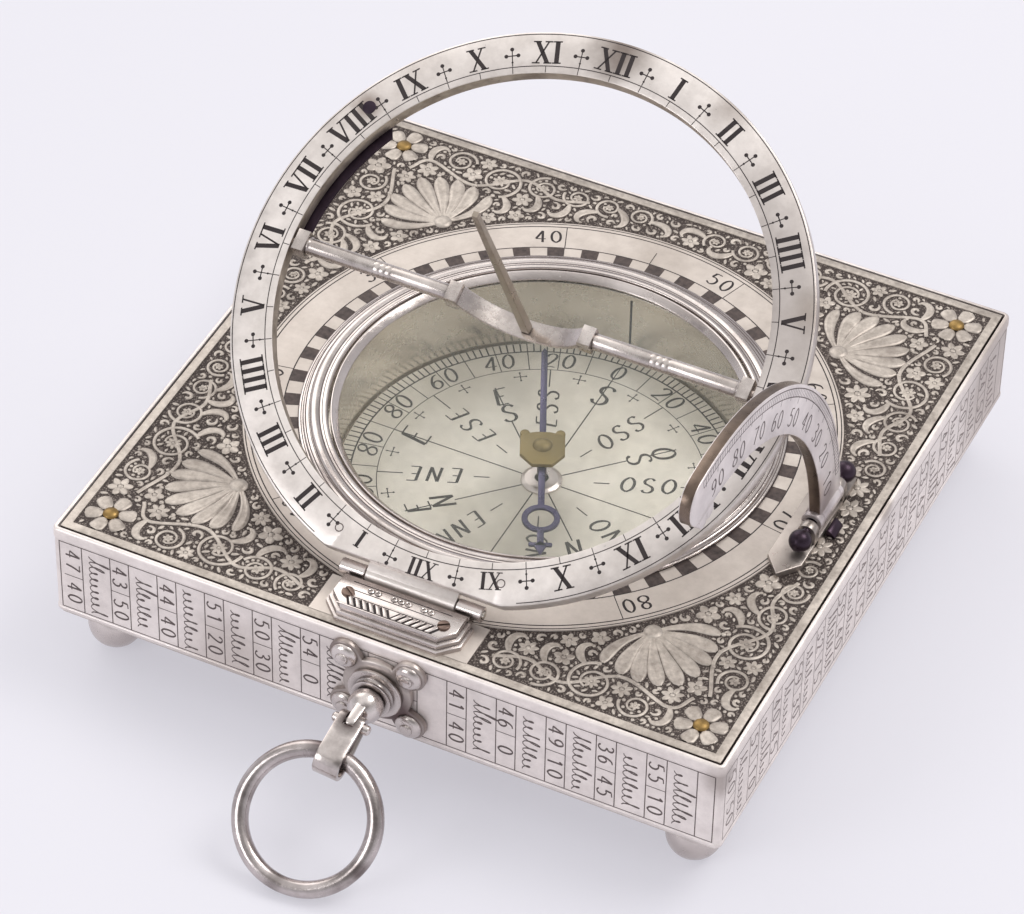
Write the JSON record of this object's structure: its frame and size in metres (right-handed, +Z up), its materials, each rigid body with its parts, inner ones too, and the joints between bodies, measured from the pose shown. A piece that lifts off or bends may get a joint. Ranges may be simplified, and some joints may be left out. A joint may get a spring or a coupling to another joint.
{
  "type": "equinoctial sundial",
  "caption": "Square pocket sundial with a compass in its top plate, a hinged hour ring with a turning gnomon bridge, a folding latitude quadrant and a suspension ring.",
  "frame": {"origin": "centre of the box's underside, the bottom plate's lower face", "axes": "+Z up out of the engraved top plate, +Y away from the hour ring's hinge, +X to the latitude quadrant's side"},
  "size_m": [0.09, 0.114, 0.0704],
  "materials": {
    "silver": "polished and engraved silver with grey tarnish",
    "silver_dark": "duller, tarnished silver",
    "blued_steel": "blued steel, dark violet grey",
    "brass": "aged brass",
    "gilt": "gilt brass",
    "card": "matte silvered compass card",
    "glass": "clear, slightly green old glass"
  },
  "bodies": {
    "case": {"case_walls": "silver", "bottom_plate": "silver", "top_plate": "silver", "corner_post_front_left": "brass", "corner_post_front_right": "brass", "corner_post_back_right": "brass", "corner_post_back_left": "brass", "corner_screw_front_left": "gilt", "corner_screw_front_right": "gilt", "corner_screw_back_right": "gilt", "corner_screw_back_left": "gilt", "foot_front_left": "silver_dark", "foot_front_right": "silver_dark", "foot_back_right": "silver_dark", "foot_back_left": "silver_dark", "compass_bowl": "silver_dark", "compass_card": "card", "card_boss": "card", "pivot_post": "blued_steel", "compass_glass": "glass", "glass_retaining_ring": "silver", "bezel": "silver", "hinge_block": "silver", "hinge_pin": "silver_dark", "hinge_screw_left": "blued_steel", "hinge_screw_right": "blued_steel", "quadrant_base": "silver", "quadrant_pin": "blued_steel", "quadrant_spring": "blued_steel", "suspension_plate": "silver", "suspension_stud_upper_left": "silver", "suspension_stud_upper_right": "silver", "suspension_stud_lower_right": "silver", "suspension_stud_lower_left": "silver"},
    "needle": {"compass_needle": "blued_steel", "needle_cap": "brass"},
    "hour_ring": {"hour_ring": "silver", "ring_spring": "blued_steel", "spring_rivet": "blued_steel", "bridge_pivot_left": "silver", "bridge_pivot_right": "silver"},
    "gnomon": {"gnomon_bridge": "silver", "gnomon_pin": "silver_dark"},
    "quadrant": {"latitude_quadrant": "silver"},
    "swivel": {"swivel_knob": "silver", "swivel_nut": "brass", "shackle_pin": "silver"},
    "shackle": {"shackle": "silver"},
    "suspension_ring": {"suspension_ring": "silver"}
  },
  "joints": [
    {"name": "needle_spin", "type": "hinge", "parent": "case", "child": "needle", "pos_m": [0, 0, 0.0092], "axis": [0, 0, 1], "continuous": true},
    {"name": "ring_tilt", "type": "hinge", "parent": "case", "child": "hour_ring", "pos_m": [0, -0.0363, 0.0162], "axis": [1, 0, 0], "range_deg": [-29, 51.5]},
    {"name": "bridge_turn", "type": "hinge", "parent": "hour_ring", "child": "gnomon", "pos_m": [0, -0.00718, 0.03689], "axis": [1, 0, 0], "range_deg": [-83.4, 96.6]},
    {"name": "quadrant_fold", "type": "hinge", "parent": "case", "child": "quadrant", "pos_m": [0.0385, 0, 0.0171], "axis": [0, 1, 0], "range_deg": [0, 88]},
    {"name": "swivel_turn", "type": "hinge", "parent": "case", "child": "swivel", "pos_m": [0, -0.045, 0.0076], "axis": [0, 1, 0], "continuous": true},
    {"name": "shackle_swing", "type": "hinge", "parent": "swivel", "child": "shackle", "pos_m": [0.00006, -0.05245, 0.0081], "axis": [0.9934, 0, -0.1149], "range_deg": [-85, 35]},
    {"name": "suspension_ring_swing", "type": "hinge", "parent": "shackle", "child": "suspension_ring", "pos_m": [-0.00015, -0.0563, 0.00631], "axis": [0.9934, 0, -0.1149], "range_deg": [-66, 24]}
  ]
}
